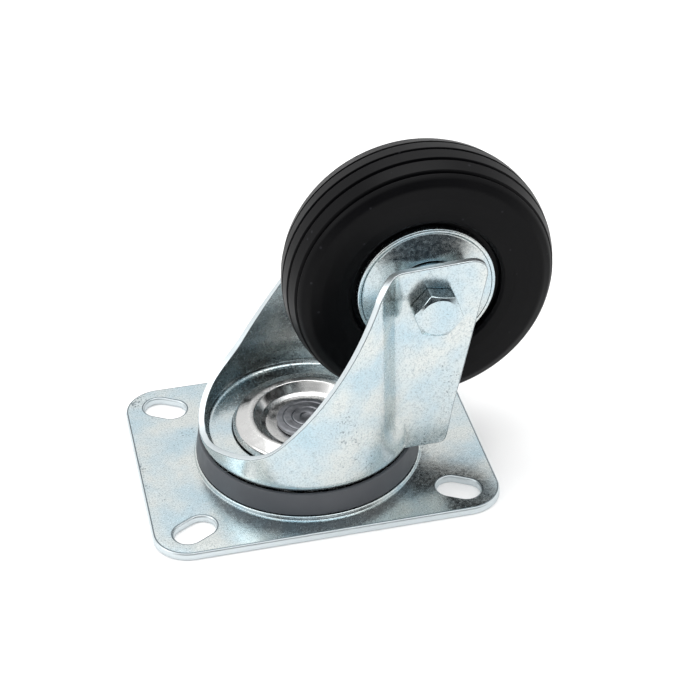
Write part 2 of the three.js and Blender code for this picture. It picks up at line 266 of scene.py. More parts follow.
# Mild steel, barrel plated in bright zinc and passivated. The passivation leaves faint cool and warm
# patches, the barrel leaves specks and fine scratches, and the sheet below gives a slight orange peel.
def bright_zinc_plate():
    finish = bpy.context.scene.caster_finish
    material, tree, shader = new_material("bright_zinc_plated_steel", finish.zinc_cool, 1, 0.24)
    place = own_place(tree)
    patches = noise(tree, place, 14, 3)
    clusters = noise(tree, place, 22, 3)
    peel = noise(tree, place, 1.1, 4)
    warmed = lay_over(tree, ramp(tree, patches, 0.4, 0.62), finish.zinc_cool, finish.zinc_warm)
    blued = lay_over(tree, ramp(tree, patches, 0.4, 0.26), warmed, finish.zinc_blue)
    # The grain of the rolled sheet is about 0.1 mm, drawn at 0.5 mm so that it shows.
    grain = ramp(tree, noise(tree, place, 0.5, 3), 0.48, 0.74, high=0.75)
    grained = lay_over(tree, grain, blued, finish.zinc_grain)
    # Barrel specks come in clusters. They are about 0.1 mm wide. Here only the peaks of a 0.75 mm noise
    # show, about 0.3 mm wide.
    peaks = combine(tree, "MULTIPLY", noise(tree, place, 0.75, 2), clusters)
    speck = ramp(tree, peaks, 0.37, 0.45, kind="SMOOTHSTEP")
    specked = lay_over(tree, speck, grained, finish.zinc_speck)
    # Straight scratches: the borders of long narrow cells, kept only where the clusters are dense.
    stretched = {"Vector": place, "Rotation": (0.5, 0.9, 0.6), "Scale": (1, 0.06, 1)}
    slanted = add_node(tree, "ShaderNodeMapping", inputs=stretched).outputs[0]
    border = ramp(tree, cells(tree, slanted, 9, "DISTANCE_TO_EDGE"), 0.002, 0.008, 1.0, 0.0)
    scratch = combine(tree, "MULTIPLY", border, ramp(tree, clusters, 0.56, 0.64, high=0.3))
    sockets = {
        "Base Color": lay_over(tree, scratch, specked, finish.zinc_scratch),
        "Roughness": ramp(tree, peel, 0.3, 0.7, 0.17, 0.3),
        "Normal": relief(tree, combine(tree, "SUBTRACT", peel, scratch), 0.6, 0.03),
    }
    feed(tree, shader, sockets)
    return material


# The same plating on a sheared edge, which is torn and matt. The lines where the cut rolls over are
# given a darker colour as painted shade, so they look darker than the torn band between them.
def sheared_edge(name, base):
    material, tree, shader = new_material(name, base, 1, 0.38)
    tears = noise(tree, own_place(tree), 0.8, 4)
    feed(tree, shader, {"Normal": relief(tree, tears, 0.5, 0.05)})
    return material


def zinc_sheet_materials():
    """The plating on a sheet's faces, the painted shade on the lines along its cut edges, and the cut between
    them.
    """
    finish = bpy.context.scene.caster_finish
    return [
        bright_zinc_plate(),
        # The rolled-over lines get a darker colour as painted shade.
        sheared_edge("zinc_edge_painted_shade", finish.painted_edge_shade),
        sheared_edge("torn_zinc_edge", finish.edge_torn),
    ]


# Bearing steel, pressed and polished. Fine turning marks run round the swivel's axis, and handling
# leaves it brighter and duller in places.
def polished_race_steel():
    finish = bpy.context.scene.caster_finish
    material, tree, shader = new_material("polished_race_steel", finish.race, 1, 0.3)
    place = own_place(tree)
    # The height is dropped, so that the marks follow only the distance from the axis.
    flat = add_node(tree, "ShaderNodeMapping", inputs={"Vector": place, "Scale": (1, 1, 0)})
    radius = add_node(tree, "ShaderNodeVectorMath", {"operation": "LENGTH"}, {0: flat.outputs[0]})
    round_axis = {"W": radius.outputs["Value"], "Scale": per_metre(0.6), "Detail": 4}
    marks = add_node(tree, "ShaderNodeTexNoise", {"noise_dimensions": "1D"}, round_axis)
    sockets = {
        "Roughness": ramp(tree, noise(tree, place, 3, 4), 0.35, 0.7, 0.16, 0.34),
        "Normal": relief(tree, marks.outputs[0], 0.3, 0.02),
    }
    feed(tree, shader, sockets)
    return material


# Steel that was hammered over cold after plating, which leaves it dark, uneven and full of small facets.
def hammered_kingpin_steel():
    finish = bpy.context.scene.caster_finish
    material, tree, shader = new_material("hammered_kingpin_steel", finish.kingpin_dark, 1, 0.4)
    place = own_place(tree)
    smears = noise(tree, place, 2, 5)
    sockets = {
        "Base Color": lay_over(tree, smears, finish.kingpin_dark, finish.kingpin_bright),
        "Normal": relief(tree, cells(tree, place, 0.8), 0.5, 0.06),
    }
    feed(tree, shader, sockets)
    return material


# Solid black rubber, moulded. It has a low sheen, a few rubbed grains and a barely uneven skin.
def moulded_black_rubber():
    finish = bpy.context.scene.caster_finish
    settings = {"IOR": 1.52, "Specular IOR Level": 0.1}
    material, tree, shader = new_material("moulded_black_rubber", finish.rubber, 0, 0.42, settings)
    place = own_place(tree)
    # Rubbed grains are about 0.1 mm. Here they are the middles of 5.5 mm cells, up to 1 mm wide.
    grain = ramp(tree, cells(tree, place, 5.5), 0.05, 0.09, 1.0, 0.0)
    sockets = {
        "Base Color": lay_over(tree, grain, finish.rubber, finish.rubber_grain),
        "Roughness": ramp(tree, noise(tree, place, 22, 2), 0.3, 0.7, 0.36, 0.5),
        "Normal": relief(tree, noise(tree, place, 1.5, 5), 0.3, 0.05),
    }
    feed(tree, shader, sockets)
    return material


# Polypropylene, nylon or acetal, moulded: an even colour with a soft sheen and a faintly clouded skin.
def moulded_plastic(name, base):
    material, tree, shader = new_material(name, base, 0, 0.45, {"IOR": 1.49})
    cloud = noise(tree, own_place(tree), 4, 3)
    feed(tree, shader, {"Roughness": ramp(tree, cloud, 0.3, 0.7, 0.38, 0.52)})
    return material


# A plain painted floor, white and quite matt.
def white_floor():
    return new_material("white_painted_floor", bpy.context.scene.caster_stage.floor, 0, 0.7)[0]


# ---------- outlines


def point(x, y):
    return Vector((x, y))


def rounded(corners, closed=True, steps=4):
    """An outline of (x, y, fillet) corners, each rounded by its fillet radius."""
    outline = []
    for i, (x, y, fillet) in enumerate(corners):
        corner = point(x, y)
        open_end = not closed and i in (0, len(corners) - 1)
        if open_end or fillet <= 0:
            outline.append(corner)
            continue
        before = point(*corners[i - 1][:2]) - corner
        after = point(*corners[(i + 1) % len(corners)][:2]) - corner
        half = before.angle(after) / 2
        if half > math.radians(89):
            outline.append(corner)
            continue
        reach = min(fillet / math.tan(half), 0.49 * before.length, 0.49 * after.length)
        start = corner + before.normalized() * reach
        middle = (before.normalized() + after.normalized()).normalized()
        centre = corner + middle * reach / math.cos(half)
        spoke = start - centre
        turn = math.pi - 2 * half
        if before.x * after.y - before.y * after.x > 0:
            turn = -turn
        for k in range(steps + 1):
            outline.append(centre + Matrix.Rotation(turn * k / steps, 2) @ spoke)
    return outline


def arc(centre, radius, start, end, steps):
    """Points on an arc, angles in degrees."""
    angles = [math.radians(start + (end - start) * k / steps) for k in range(steps + 1)]
    return [point(centre[0] + radius * math.cos(a), centre[1] + radius * math.sin(a)) for a in angles]


def bezier(a, b, c, d, steps):
    """Points on a cubic curve after its first point."""
    a, b, c, d = (point(*p) for p in (a, b, c, d))
    curve = []
    for k in range(1, steps + 1):
        t = k / steps
        s = 1 - t
        curve.append(a * s**3 + b * 3 * s * s * t + c * 3 * s * t * t + d * t**3)
    return curve


def spaced(outline, step, closed=True):
    """The same outline with points added, so that none are further apart than step."""
    result = []
    pairs = zip(outline, outline[1:] + outline[:1] if closed else outline[1:])
    for a, b in pairs:
        count = max(1, math.ceil((b - a).length / step))
        result.extend(a.lerp(b, k / count) for k in range(count))
    if not closed:
        result.append(outline[-1])
    return result


def inset(outline, distances, closed=True):
    """Moves each point of a counter-clockwise outline inwards by its own distance."""
    moved = []
    last = len(outline) - 1
    for i, here in enumerate(outline):
        before = outline[i - 1] if closed or i > 0 else here
        after = outline[(i + 1) % len(outline)] if closed or i < last else here
        sides = [q - p for p, q in ((before, here), (here, after)) if (q - p).length > 1e-9]
        normals = [point(-side.y, side.x).normalized() for side in sides]
        middle = sum(normals, Vector((0, 0))).normalized()
        moved.append(here + middle * distances[i] / max(0.5, middle.dot(normals[0])))
    return moved


def holds(outline, place):
    """Whether a closed outline has this point inside."""
    inside = False
    for a, b in zip(outline, outline[1:] + outline[:1]):
        if (a.y > place.y) != (b.y > place.y):
            if place.x < a.x + (b.x - a.x) * (place.y - a.y) / (b.y - a.y):
                inside = not inside
    return inside


# ---------- meshes


def upright(radius, angle, height):
    """A point about the swivel's axis."""
    return Vector((radius * math.cos(angle), radius * math.sin(angle), height)) * MM


def on_axle(radius, angle, height):
    """A point about the wheel's axis, with height along it."""
    across, up = radius * math.cos(angle), radius * math.sin(angle)
    return Vector((AXLE.x + across, height, AXLE.z + up)) * MM


def join(mesh, low, high):
    """Faces between two rings with as many vertices each. A ring at a pole repeats its one vertex."""
    count = len(low)
    for k in range(count):
        after = (k + 1) % count
        corners = list(dict.fromkeys((low[k], low[after], high[after], high[k])))
        if len(corners) > 2:
            mesh.faces.new(corners)


def turn_outline(mesh, outline, segments, place, closed=True):
    """Turns a (radius, height) outline about an axis and returns its rings of vertices."""
    rings = []
    for radius, height in outline:
        if radius < 1e-9:
            rings.append([mesh.verts.new(place(0, 0, height))] * segments)
            continue
        angles = [2 * math.pi * k / segments for k in range(segments)]
        rings.append([mesh.verts.new(place(radius, angle, height)) for angle in angles])
    pairs = zip(rings, rings[1:] + rings[:1]) if closed else zip(rings, rings[1:])
    for low, high in pairs:
        join(mesh, low, high)
    return rings


def edge_rows(thickness, upper, lower, steps=3):
    """(inset, depth) rows over a rounded sheet edge, from its upper to its lower face."""
    angles = [math.pi / 2 * k / steps for k in range(steps + 1)]
    over = [(upper * (1 - math.sin(a)), upper * (1 - math.cos(a))) for a in angles]
    under = [(lower * (1 - math.sin(a)), thickness - lower * (1 - math.cos(a))) for a in angles]
    return over + under[::-1]


def edge_strip(mesh, rows, closed):
    """Faces between rows of vertices over a sheet's edge. The first and last are its rolled-over lines,
    which carry painted shade, and the rest is torn."""
    count = len(rows[0])
    for k, (top, bottom) in enumerate(zip(rows, rows[1:])):
        for i in range(count if closed else count - 1):
            j = (i + 1) % count
            face = mesh.faces.new((top[i], top[j], bottom[j], bottom[i]))
            # The first and last rows take material 1, the darker painted shade lines; the rows between are the
            # torn band.
            face.material_index = 1 if k in (0, len(rows) - 2) else 2


def fill_flat(mesh, border, holes, spacing, place, depth):
    """Fills the border with triangles, leaves the holes open and uses the spacing points inside. Points
    too near a border would make slivers, so they are left out."""
    points, edges = [], []
    for loop in [border] + holes:
        first = len(points)
        points.extend(loop)
        edges.extend((first + i, first + (i + 1) % len(loop)) for i in range(len(loop)))
    rim_points = list(points)
    for candidate in spacing:
        if not holds(border, candidate) or any(holds(loop, candidate) for loop in holes):
            continue
        if all(abs(candidate.x - p.x) + abs(candidate.y - p.y) > BORDER_GAP for p in rim_points):
            points.append(candidate)
    flat, _, triangles, _, _, _ = delaunay_2d_cdt(points, edges, [], 1, 1e-7)
    vertices = [mesh.verts.new(place(p.x, p.y, depth)) for p in flat]
    for triangle in triangles:
        middle = sum((flat[i] for i in triangle), Vector((0, 0))) / len(triangle)
        if not any(holds(loop, middle) for loop in holes):
            mesh.faces.new([vertices[i] for i in triangle])


def sheet_metal(mesh, free, joined, holes, place, thickness, upper, lower, spacing):
    """Builds a sheet with rounded edges. free is the outline's part with an edge, joined the part that
    meets another surface. Each hole is a counter-clockwise outline with True if it has an edge.
    place(u, v, depth) maps the flat sheet, whose depth runs down from its upper face."""
    bands = [(free[0], free[1], not joined, False)]
    bands += [(hole, [1] * len(hole), True, True) for hole, edged in holes if edged]
    tops, bottoms = [], []
    for outline, shares, closed, is_hole in bands:
        sign = -1 if is_hole else 1
        rows = []
        for k in range(len(edge_rows(thickness, upper, lower))):
            distances, depths = [], []
            for share in shares:
                move, depth = edge_rows(thickness, upper * share, lower * share)[k]
                distances.append(sign * move)
                depths.append(depth)
            moved = inset(outline, distances, closed)
            rows.append([mesh.verts.new(place(p.x, p.y, d)) for p, d in zip(moved, depths)])
            if k == 0:
                tops.append(moved)
        bottoms.append(moved)
        edge_strip(mesh, rows, closed)
    plain = [hole for hole, edged in holes if not edged]
    for depth, rims in ((0, tops), (thickness, bottoms)):
        fill_flat(mesh, rims[0] + joined, rims[1:] + plain, spacing, place, depth)


def welded(mesh):
    """Joins surfaces that meet, drops what they leave loose and turns every face outwards."""
    bmesh.ops.remove_doubles(mesh, verts=mesh.verts, dist=0.002 * MM)
    bmesh.ops.dissolve_degenerate(mesh, edges=mesh.edges, dist=0.001 * MM)
    loose = [v for v in mesh.verts if not v.link_faces]
    bmesh.ops.delete(mesh, geom=loose, context="VERTS")
    bmesh.ops.recalc_face_normals(mesh, faces=mesh.faces)


def piece(name, mesh, materials, body, nodes, sharp=40):
    """Makes an object of a mesh, puts it on its body and lets it stand for its nodes."""
    welded(mesh)
    data = bpy.data.meshes.new(name)
    mesh.to_mesh(data)
    mesh.free()
    data.shade_smooth()
    data.set_sharp_from_angle(angle=math.radians(sharp))
    for material in materials:
        data.materials.append(material)
    shape = bpy.data.objects.new(name, data)
    bpy.context.scene.collection.objects.link(shape)
    weighted = shape.modifiers.new("Weighted Normals", "WEIGHTED_NORMAL")
    weighted.keep_sharp = True
    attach(shape, body)
    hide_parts(*nodes)
    return shape


def turned_piece(name, corners, place, segments, material, body, nodes, steps=4):
    """A piece turned in segments from a closed outline of (radius, height, fillet) corners in
    millimetres, with steps faces on each fillet."""
    mesh = bmesh.new()
    turn_outline(mesh, rounded(corners, steps=steps), segments, place)
    return piece(name, mesh, [material], body, nodes)


def tube_corners(inner, outer, low, high, fillets):
    """Corners of a tube's section from the inner low one round to the inner high one."""
    corners = ((inner, low), (outer, low), (outer, high), (inner, high))
    return [(radius, height, fillet) for (radius, height), fillet in zip(corners, fillets)]


# ---------- mounting plate

PLATE_SEGMENTS = 192  # steps round the raised centre
CORNER_STEPS, SLOT_STEPS = 16, 14  # steps round a corner of the plate and an end of a slot
LOWER_EDGE = 0.3  # mm, radius of the edge that the punch leaves at the bottom


def slot_outline(plate, side_x, side_y):
    """One slot with round ends, its long side turned towards the plate's centre."""
    end = plate.slot_width / MM / 2
    reach = plate.slot_length / MM / 2 - end
    angle = math.degrees(plate.slot_angle) * side_x * side_y
    middle = point(side_x * plate.spacing_x / MM / 2, side_y * plate.spacing_y / MM / 2)
    along = point(math.cos(math.radians(angle)), math.sin(math.radians(angle))) * reach
    near_end = arc(middle + along, end, angle - 90, angle + 90, SLOT_STEPS)
    return near_end + arc(middle - along, end, angle + 90, angle + 270, SLOT_STEPS)


class CasterAddPlate(bpy.types.Operator):
    """Add the mounting plate with its slots and raised centre"""

    bl_idname = "caster.add_plate"
    bl_label = "Mounting Plate"

    def execute(self, context):
        plate = context.scene.caster_plate
        low, high = extent("mounting_plate")
        corner, thick = plate.corner / MM, plate.thickness / MM
        step, rise = plate.step_radius / MM, plate.step_rise / MM
        rectangle = ((high.x, high.y), (low.x, high.y), (low.x, low.y), (high.x, low.y))
        outline = rounded([(x, y, corner) for x, y in rectangle], steps=CORNER_STEPS)
        outline = spaced(outline, 6)
        rim = arc((0, 0), step, 0, 360, PLATE_SEGMENTS)[:-1]
        holes = [(slot_outline(plate, x, y), True) for x in (-1, 1) for y in (-1, 1)]
        mesh = bmesh.new()
        sheet_metal(
            mesh, (outline, [1] * len(outline)), [], holes + [(rim, False)],
            lambda u, v, depth: Vector((u, v, thick - depth)) * MM, thick, plate.edge / MM,
            LOWER_EDGE, [],
        )
        # The raised centre with its hub and a shallow groove, from below inwards and back out on top.
        hub_top, crest = high.z, thick + rise
        section = rounded(
            [
                (step, 0, 0), (step - 0.7, 0, 0.4), (step - 1.4, rise, 0.4), (20.6, rise, 1.5),
                (11.4, hub_top - thick, 1), (6, hub_top - thick, 0.2), (6, hub_top, 0.3),
                (12.6, hub_top, 1.2), (21.2, crest, 1.5), (23.5, crest, 0.4),
                (24.6, crest - 0.6, 1.5), (27.4, crest - 0.6, 1.5), (28.5, crest, 0.4),
                (step - 0.55, crest, 0.45), (step - 0.25, thick + 0.1, 0.1), (step, thick, 0),
            ],
            closed=False,
        )
        turn_outline(mesh, section, PLATE_SEGMENTS, upright, closed=False)
        piece(
            "pressed_plate", mesh, zinc_sheet_materials(), "mounting",
            ["mounting_plate"],
        )
        return {"FINISHED"}


# ---------- swivel bearing

SEAL_TOP_RADIUS = 33.2  # mm, the seal tapers upwards from the radius of its foot


class CasterAddSeal(bpy.types.Operator):
    """Add the grey dust seal round the swivel bearing"""

    bl_idname = "caster.add_seal"
    bl_label = "Dust Seal"

    def execute(self, context):
        low, high = extent("dust_seal")
        foot, top = high.x, SEAL_TOP_RADIUS
        corners = [
            (foot - 1.4, low.z, 0.2), (foot, low.z, 0.25), (foot - 0.1, low.z + 0.9, 0.5),
            (top, high.z, 0.35), (top - 1.3, high.z, 0.3),
        ]
        plastic = moulded_plastic("moulded_grey_polypropylene", context.scene.caster_finish.seal)
        turned_piece(
            "seal_ring", corners, upright, 192, plastic, "mounting", ["dust_seal"]
        )
        return {"FINISHED"}


class CasterAddCup(bpy.types.Operator):
    """Add the polished race cup over the lower balls"""

    bl_idname = "caster.add_cup"
    bl_label = "Race Cup"

    def execute(self, context):
        high = extent("lower_race_cup")[1]
        rim, crest = high.x, high.z
        corners = [
            (5.9, 11.1, 0.1), (12.7, 11.1, 1), (15.7, 14, 1), (17.6, crest - 1.5, 1.5),
            (20.7, 13.5, 1), (rim - 1.3, 12.3, 0.1), (rim, 12.3, 0.3), (rim - 0.9, 14.7, 1.6),
            (17.6, crest, 3), (15.9, crest - 0.25, 0.8), (14, 13.2, 0.8), (12.6, 12.6, 0.8),
            (5.9, 12.6, 0.1),
        ]
        turned_piece(
            "race_cup", corners, upright, 160, polished_race_steel(), "mounting",
            ["lower_race_cup"],
        )
        return {"FINISHED"}


class CasterAddKingpin(bpy.types.Operator):
    """Add the riveted kingpin and its spacer"""

    bl_idname = "caster.add_kingpin"
    bl_label = "Kingpin"

    def execute(self, context):
        low, high = extent("kingpin")
        head, top = high.x, high.z
        corners = [
            (0, low.z, 0), (head - 0.4, low.z, 0.1), (head, low.z + 0.4, 0.2), (head, 4.4, 0.2),
            (5.6, 4.4, 0.2), (5.6, 12.9, 0.1), (9.0, 12.9, 0.1), (9.2, 13.2, 0.2),
            (9.2, top - 0.5, 0.3), (8.75, top - 0.12, 0.3), (7.3, top - 0.06, 0.2),
            (7.0, top - 0.25, 0.2), (6.6, top - 0.05, 0.2), (4.6, top, 0.2),
            (4.25, top - 0.22, 0.15), (3.9, top - 0.05, 0.2), (2.0, top - 0.1, 0.2),
            (1.6, top - 0.4, 0.2), (0, top - 0.45, 0),
        ]
        turned_piece(
            "riveted_kingpin", corners, upright, 128, hammered_kingpin_steel(), "mounting",
            ["kingpin"], steps=2,
        )
        low, high = extent("kingpin_spacer")
        ring = tube_corners(6, high.x, low.z, high.z, [0.2] * 4)
        turned_piece(
            "spacer_ring", ring, upright, 96, bright_zinc_plate(), "mounting",
            ["kingpin_spacer"],
        )
        return {"FINISHED"}


class CasterAddBalls(bpy.types.Operator):
    """Add both rows of bearing balls"""

    bl_idname = "caster.add_balls"
    bl_label = "Balls"

    def execute(self, context):
        bodies = record["behaviour"]["bodies"]
        for row in ("upper_ball", "lower_ball"):
            nodes = bodies[row + "_row"]
            mesh = bmesh.new()
            for node in nodes:
                low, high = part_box(node)
                radius = (high.z - low.z) / 2
                middle = Matrix.Translation((low + high) / 2)
                bmesh.ops.create_uvsphere(
                    mesh, u_segments=24, v_segments=12, radius=radius, matrix=middle
                )
            piece(
                row + "s", mesh, [polished_race_steel()], row + "_row",
                nodes, sharp=60,
            )
        return {"FINISHED"}


# ---------- fork

# The wall follows the crown's circle to BEND_START degrees from +X, then turns inwards by BEND_TURN over
# one radius and back over another to run on as a flat leg.
BEND_START, BEND_TURN, OUTWARD_RADIUS, INWARD_RADIUS = 60, 22, 6, 5
MEET_RADIUS = 1.5  # mm, the tight bend between the crown's circle and a leg's foot
BLEND_HEIGHT = 13  # mm above the lip over which the wall passes from its lower plan to its upper one
LEG_LENGTH = 100  # mm, more than any leg needs
CROWN_SEGMENTS = 192
SPLIT_STEPS = 75  # steps of the crown from the front to where a leg leaves it
EDGE_FADE, LIP_FADE = 8, 5  # points over which a rounded edge fades in on the leg and on the rear lip
GRID_STEP = 1.3  # mm between points inside the wall


class WallPath:
    """Plan of half the wall by the distance along it from the front, for the -Y or +Y side."""

    def __init__(self, pieces):
        self.pieces = pieces

    def at(self, distance):
        """(place, outward normal) at a distance from the middle of the front."""
        travelled = 0
        for kind, length, data in self.pieces:
            if distance <= travelled + length or data is self.pieces[-1][2]:
                ahead = distance - travelled
                if kind == "line":
                    start, heading = data
                    way = point(math.cos(heading), math.sin(heading))
                    return start + way * ahead, point(-way.y, way.x)
                centre, radius, angle, turning = data
                here = angle + turning * ahead / radius
                spoke = point(math.cos(here), math.sin(here))
                return centre + spoke * radius, spoke * (-turning)
            travelled += length
        raise ValueError("distance is beyond the wall's end")


def joggled_path(radius, leg):
    """The wall's plan above the crown: round the front, in through two bends, and straight on."""
    start, after = math.radians(BEND_START), math.radians(BEND_START - BEND_TURN)
    outward = point(math.cos(start), math.sin(start)) * (radius - OUTWARD_RADIUS)
    inward_y = leg + INWARD_RADIUS
    both = OUTWARD_RADIUS + INWARD_RADIUS
    drop = outward.y - inward_y + both * math.sin(after)
    inward = point(outward.x + both * math.cos(after) + drop * math.tan(after), inward_y)
    leaves = outward + point(math.cos(after), math.sin(after)) * OUTWARD_RADIUS
    heading = after - math.pi / 2
    return WallPath(
        [
            ("arc", radius * (math.pi - start), (point(0, 0), radius, math.pi, -1)),
            ("arc", OUTWARD_RADIUS * (start - after), (outward, OUTWARD_RADIUS, start, -1)),
            ("line", drop / math.cos(after), (leaves, heading)),
            ("arc", INWARD_RADIUS * -heading, (inward, INWARD_RADIUS, after - math.pi, 1)),
            ("line", LEG_LENGTH, (point(inward.x, leg), 0)),
        ]
    )


def round_path(radius, leg):
    """The wall's plan where it meets the crown: round to the leg, then straight on."""
    meet = math.asin(leg / radius)
    reach = MEET_RADIUS * math.tan((math.pi / 2 - meet) / 2)
    leaves = meet + reach / radius
    after = point(math.cos(meet), math.sin(meet)) * radius + point(reach, 0)
    middle = after + point(0, MEET_RADIUS)
    return WallPath(
        [
            ("arc", radius * (math.pi - leaves), (point(0, 0), radius, math.pi, -1)),
            ("arc", MEET_RADIUS * (math.pi / 2 - meet), (middle, MEET_RADIUS, meet - math.pi, 1)),
            ("line", LEG_LENGTH, (after, 0)),
        ]
    )


def smooth(value):
    """An even rise from 0 to 1 without corners at its ends."""
    value = min(1, max(0, value))
    return value * value * (3 - 2 * value)


def wall_grid(lip):
    """Points inside the unrolled wall, which is 76 mm high and reaches 118 mm to each side. They are
    closer together in its bends, 64 to 86 mm out, and further apart on the flat legs above 40 mm."""
    grid = []
    column = -118.0
    while column < 118:
        bend = 64 < abs(column) < 86
        row = lip + 1.1
        while row < 76:
            grid.append(point(column, row))
            row += GRID_STEP if row < 40 or bend else 2 * GRID_STEP
        column += GRID_STEP / 2 if bend else GRID_STEP
    return grid


class CasterAddFork(bpy.types.Operator):
    """Add the pressed fork: dished crown, wall and two legs"""

    bl_idname = "caster.add_fork"
    bl_label = "Fork"

    def execute(self, context):
        fork = context.scene.caster_fork
        radius, leg, lip = fork.radius / MM, fork.leg / MM, fork.lip / MM
        sheet, edge = fork.sheet / MM, fork.edge / MM
        upper, lower = joggled_path(radius, leg), round_path(radius, leg)

        def place(along, height, depth):
            """Bends the unrolled wall: from the lower plan at the lip to the upper plan above it."""
            share = smooth((height - lip) / BLEND_HEIGHT)
            above, out_above = upper.at(abs(along))
            below, out_below = lower.at(abs(along))
            out = below.lerp(above, share)
            normal = out_below.lerp(out_above, share).normalized()
            at = out - normal * depth
            side = 1 if along >= 0 else -1
            return Vector((at.x, side * at.y, height)) * MM

        # Half of the free outline in X and height, from where the leg leaves the crown, round the foot
        # and the axle end, and down the sweep to the middle of the front.
        foot, rear = 12.6, 38.7
        half = rounded(
            [(24.9, lip, 0), (25.3, foot, 0.4), (37.7, foot, 2.4), (rear + 0.1, 16.6, 0)],
            closed=False,
            steps=8,
        )[1:]
        half += spaced([half[-1], point(50.2, 70)], 1.2, closed=False)[1:]
        half += bezier((50.2, 70), (51.1, 74), (48.8, 76.5), (44.5, 76.3), 12)
        half += spaced([point(44.5, 76.3), point(24, 75.4)], 1.2, closed=False)[1:]
        half += bezier((24, 75.4), (20.2, 75.13), (17.73, 73.73), (16.6, 71.2), 10)
        half += bezier((16.6, 71.2), (9, 55), (-3, 40), (-14, 27.3), 56)
        half += bezier((-14, 27.3), (-21, 18.9), (-28, 20.5), (-radius, 14.35), 36)

        def along(x):
            """Distance along the wall for an X, found by halving, because X grows all along it."""
            near, far = 0.0, 130.0
            for _ in range(40):
                middle = (near + far) / 2
                if upper.at(middle)[0].x < x:
                    near = middle
                else:
                    far = middle
            return near

        step = 2 * math.pi / CROWN_SEGMENTS
        split = radius * step * SPLIT_STEPS
        right = [point(split, lip)]
        right += [point(along(p.x), p.y) for p in half[:-1]]
        front = point(0, half[-1].y)
        left = [point(-p.x, p.y) for p in reversed(right)]
        outline = right + [front] + left
        # The rounded edge fades in from where the leg leaves the crown, so that both meet flush.
        shares = [smooth(i / EDGE_FADE) for i in range(len(outline))]
        shares = [min(a, b) for a, b in zip(shares, reversed(shares))]
        base = [point(radius * step * k, lip) for k in range(-SPLIT_STEPS + 1, SPLIT_STEPS)]
        eye = along(AXLE.x)
        holes = [(arc((side * eye, AXLE.z), fork.hole / MM, 0, 360, 32)[:-1], True) for side in (-1, 1)]
        mesh = bmesh.new()
        grid = wall_grid(lip)
        sheet_metal(mesh, (outline, shares), base, holes, place, sheet, edge, edge, grid)

        # The crown, turned in two skins whose top rings carry the wall in front and a lip behind. Each
        # runs from the bore over the dish for the balls and up to the floor, and round the corner.
        bottom = extent("fork")[0].z
        under, corner = 10, 4
        skins = []
        for depth, dish, steps in ((0, 20.5, 10), (sheet, 20.2, 8)):
            low, floor, start = bottom + depth, under + depth, radius - corner
            skin = rounded([(14, low, 0), (dish, low, 1), (22.9, floor, 1), (start, floor, 0)], False)
            skins.append(skin + arc((start, under + corner), corner - depth, -90, 0, steps)[1:])
        tops = [turn_outline(mesh, skin, CROWN_SEGMENTS, upright, closed=False) for skin in skins]
        join(mesh, tops[0][0], tops[1][0])

        # The lip behind, whose round edge fades out towards each leg.
        behind = CROWN_SEGMENTS - 2 * SPLIT_STEPS
        first = CROWN_SEGMENTS // 2 - SPLIT_STEPS
        rows = []
        for k in range(len(edge_rows(sheet, edge, edge))):
            row = []
            for i in range(behind + 1):
                share = smooth(min(i, behind - i) / LIP_FADE)
                down, depth = edge_rows(sheet, edge * share, edge * share)[k]
                angle = (first - i) * step
                row.append(mesh.verts.new(upright(radius - depth, angle, lip + edge * share - down)))
            rows.append(row)
        edge_strip(mesh, rows, False)
        piece(
            "pressed_fork", mesh, zinc_sheet_materials(), "swivel_fork",
            ["fork"], sharp=50,
        )
        return {"FINISHED"}


# ---------- axle

# An M8 bolt with its nut, in mm: across flats of both, shank, pitch and depth of the thread.
HEX_ACROSS, BOLT_RADIUS, THREAD_PITCH, THREAD_DEPTH = 13, 4, 1.25, 0.55
HEX_SOFT = 0.12  # mm rounded off the hexagons' corners and edges
LEG_GAP = 0.3  # mm between a leg and the bolt's head or nut
HEAD_FLAT, NUT_FLAT = 5.7, 6.15  # mm, radius of the flat circle that the chamfer leaves on each
NUT_HEIGHT = 6.2  # mm, the hexagon of the nut without its collar
THREAD_INSIDE = 3  # mm of thread inside the nut-side leg's outer face
HEAD_TURN = math.radians(-11.6)
AXLE_SEGMENTS = 96


def hexagon(mesh, start, end, turn, flat):
    """A hexagon about the axle from start to end. Its corners are rounded a little, and a cone of 30
    degrees cuts its end back to a circle with the radius flat. Returns its first and last ring."""
    height = abs(end - start)
    direction = 1 if end > start else -1
    corner = HEX_ACROSS / math.sqrt(3) - HEX_SOFT

    def reach(angle):
        sector = (angle - turn) % (math.pi / 3) - math.pi / 6
        return min(HEX_ACROSS / 2 / math.cos(sector), corner)

    def cone(radius):
        return height - max(0, radius - flat) * math.tan(math.radians(30))

    # Radius and height of each ring where the flats and corners reach out to r.
    profile = (
        lambda r: (r - 0.15, 0),
        lambda r: (r, HEX_SOFT),
        lambda r: (r, cone(r) - HEX_SOFT),
        lambda r: (r - 0.1, cone(r - 0.1)),
        lambda r: (flat + 0.05, height - 0.03),
        lambda r: (flat - 0.2, height),
    )
    rings = []
    for level in profile:
        ring = []
        for k in range(AXLE_SEGMENTS):
            angle = 2 * math.pi * k / AXLE_SEGMENTS + turn
            radius, rise = level(reach(angle))
            ring.append(mesh.verts.new(on_axle(radius, angle, start + direction * rise)))
        rings.append(ring)
    for low, high in zip(rings, rings[1:]):
        join(mesh, low, high)
    return rings[0], rings[-1]


